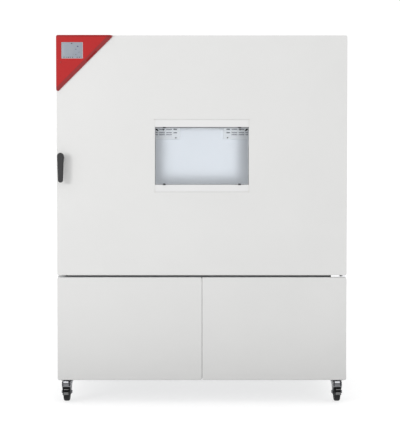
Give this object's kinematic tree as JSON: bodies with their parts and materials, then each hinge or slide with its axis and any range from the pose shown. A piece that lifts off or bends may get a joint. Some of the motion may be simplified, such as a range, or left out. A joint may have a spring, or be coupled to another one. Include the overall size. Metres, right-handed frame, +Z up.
{
  "type": "environmental test chamber",
  "caption": "Free-standing climate test chamber on casters, with a wide insulated door and window, a corner control fascia, and service doors over the machine room.",
  "frame": {"origin": "on the floor, under the centre of the bounding box", "axes": "+Z up, +X to the right seen from the front, the doors face -Y"},
  "size_m": [1.605, 1.198, 2.005],
  "materials": {
    "body_paint": "fine textured powder coat",
    "galvanised_steel": "satin",
    "stainless_steel": "brushed",
    "zinc_plated": "satin",
    "white_plate": "satin",
    "insulation_foam": "matte",
    "red_housing": "satin",
    "red_lens": "gloss",
    "display_cover": "gloss",
    "black_plastic": "satin",
    "black_rubber": "matte",
    "silicone_grey": "matte",
    "window_glass": "clear",
    "tyre_grey": "matte",
    "coil_metal": "satin",
    "compressor_black": "satin",
    "can_plastic": "translucent",
    "brass_fittings": "satin",
    "hinge_pin_steel": "bright"
  },
  "bodies": {
    "cabinet": {"base_frame": "galvanised_steel", "side_panel_left": "body_paint", "side_panel_right": "body_paint", "top_cover": "body_paint", "rear_bulkhead": "galvanised_steel", "rear_covers": "body_paint", "front_frame": "stainless_steel", "insulation": "insulation_foam", "chamber_liner": "stainless_steel", "air_baffle": "white_plate", "fan_covers": "white_plate", "shelf_rails": "stainless_steel", "wire_shelf": "stainless_steel", "probe_and_lamp": "white_plate", "access_port_tube": "stainless_steel", "fan_motors": "compressor_black", "heater_coils": "coil_metal", "evaporator": "coil_metal", "condenser": "coil_metal", "compressors": "compressor_black", "electrical_box": "galvanised_steel", "water_cans": "can_plastic", "utility_connections": "brass_fittings", "cover_screws": "hinge_pin_steel", "latch_keeper": "stainless_steel", "hinge_brackets": "body_paint", "service_hinges": "galvanised_steel", "caster_plates": "zinc_plated"},
    "door": {"door_shell": "body_paint", "door_hinge_pins": "hinge_pin_steel", "door_liner": "stainless_steel", "door_insulation": "insulation_foam", "door_gasket": "silicone_grey", "window_panes": "window_glass", "window_frame": "stainless_steel", "window_trims": "body_paint", "window_seals": "black_rubber", "control_fascia": "red_housing", "status_lens": "red_lens", "touch_display": "display_cover", "handle_base": "black_plastic"},
    "handle": {"handle_lever": "black_plastic", "latch_spindle": "stainless_steel"},
    "service_door_left": {"service_door_left": "body_paint"},
    "service_door_right": {"service_door_right": "body_paint"},
    "circulation_fan_left": {"circulation_fan_left": "coil_metal"},
    "circulation_fan_right": {"circulation_fan_right": "coil_metal"},
    "condenser_fan": {"condenser_fan": "black_plastic"},
    "port_plug": {"port_plug": "silicone_grey"},
    "main_switch": {"main_switch_knob": "black_plastic"},
    "caster_fork_fl": {"caster_fork_fl": "zinc_plated"},
    "caster_wheel_fl": {"caster_wheel_fl": "tyre_grey"},
    "caster_fork_fr": {"caster_fork_fr": "zinc_plated"},
    "caster_wheel_fr": {"caster_wheel_fr": "tyre_grey"},
    "caster_fork_rl": {"caster_fork_rl": "zinc_plated"},
    "caster_wheel_rl": {"caster_wheel_rl": "tyre_grey"},
    "caster_fork_rr": {"caster_fork_rr": "zinc_plated"},
    "caster_wheel_rr": {"caster_wheel_rr": "tyre_grey"},
    "brake_pedal_fl": {"brake_pedal_fl": "black_plastic"},
    "brake_pedal_fr": {"brake_pedal_fr": "black_plastic"}
  },
  "joints": [
    {"name": "door_hinge", "type": "hinge", "parent": "cabinet", "child": "door", "pos_m": [0.764, -0.52, 1.35], "axis": [0, 0, 1], "range_deg": [0, 105]},
    {"name": "handle_turn", "type": "hinge", "parent": "door", "child": "handle", "pos_m": [-0.765, -0.545, 1.342], "axis": [0, -1, 0], "range_deg": [0, 90]},
    {"name": "service_door_left_hinge", "type": "hinge", "parent": "cabinet", "child": "service_door_left", "pos_m": [-0.78, -0.522, 0.405], "axis": [0, 0, -1], "range_deg": [0, 100]},
    {"name": "service_door_right_hinge", "type": "hinge", "parent": "cabinet", "child": "service_door_right", "pos_m": [0.78, -0.522, 0.405], "axis": [0, 0, 1], "range_deg": [0, 100]},
    {"name": "circulation_fan_left_spin", "type": "hinge", "parent": "cabinet", "child": "circulation_fan_left", "pos_m": [-0.35, 0.234, 1.614], "axis": [0, 1, 0], "continuous": true},
    {"name": "circulation_fan_right_spin", "type": "hinge", "parent": "cabinet", "child": "circulation_fan_right", "pos_m": [0.35, 0.234, 1.614], "axis": [0, 1, 0], "continuous": true},
    {"name": "condenser_fan_spin", "type": "hinge", "parent": "cabinet", "child": "condenser_fan", "pos_m": [0, 0.43, 0.4], "axis": [0, 1, 0], "continuous": true},
    {"name": "port_plug_pull", "type": "slide", "parent": "cabinet", "child": "port_plug", "axis": [-1, 0, 0], "range_m": [0, 0.12]},
    {"name": "main_switch_turn", "type": "hinge", "parent": "cabinet", "child": "main_switch", "pos_m": [0.79, -0.38, 0.6], "axis": [-1, 0, 0], "range_deg": [0, 90]},
    {"name": "caster_fl_swivel", "type": "hinge", "parent": "cabinet", "child": "caster_fork_fl", "pos_m": [-0.745, -0.445, 0.11], "axis": [0, 0, 1], "continuous": true},
    {"name": "caster_fl_roll", "type": "hinge", "parent": "caster_fork_fl", "child": "caster_wheel_fl", "pos_m": [-0.745, -0.48, 0.05], "axis": [1, 0, 0], "continuous": true},
    {"name": "brake_fl_press", "type": "hinge", "parent": "caster_fork_fl", "child": "brake_pedal_fl", "pos_m": [-0.745, -0.516, 0.096], "axis": [1, 0, 0], "range_deg": [0, 8]},
    {"name": "caster_fr_swivel", "type": "hinge", "parent": "cabinet", "child": "caster_fork_fr", "pos_m": [0.745, -0.445, 0.11], "axis": [0, 0, 1], "continuous": true},
    {"name": "caster_fr_roll", "type": "hinge", "parent": "caster_fork_fr", "child": "caster_wheel_fr", "pos_m": [0.745, -0.48, 0.05], "axis": [1, 0, 0], "continuous": true},
    {"name": "brake_fr_press", "type": "hinge", "parent": "caster_fork_fr", "child": "brake_pedal_fr", "pos_m": [0.745, -0.516, 0.096], "axis": [1, 0, 0], "range_deg": [0, 8]},
    {"name": "caster_rl_swivel", "type": "hinge", "parent": "cabinet", "child": "caster_fork_rl", "pos_m": [-0.745, 0.49, 0.11], "axis": [0, 0, 1], "continuous": true},
    {"name": "caster_rl_roll", "type": "hinge", "parent": "caster_fork_rl", "child": "caster_wheel_rl", "pos_m": [-0.745, 0.455, 0.05], "axis": [1, 0, 0], "continuous": true},
    {"name": "caster_rr_swivel", "type": "hinge", "parent": "cabinet", "child": "caster_fork_rr", "pos_m": [0.745, 0.49, 0.11], "axis": [0, 0, 1], "continuous": true},
    {"name": "caster_rr_roll", "type": "hinge", "parent": "caster_fork_rr", "child": "caster_wheel_rr", "pos_m": [0.745, 0.455, 0.05], "axis": [1, 0, 0], "continuous": true}
  ]
}
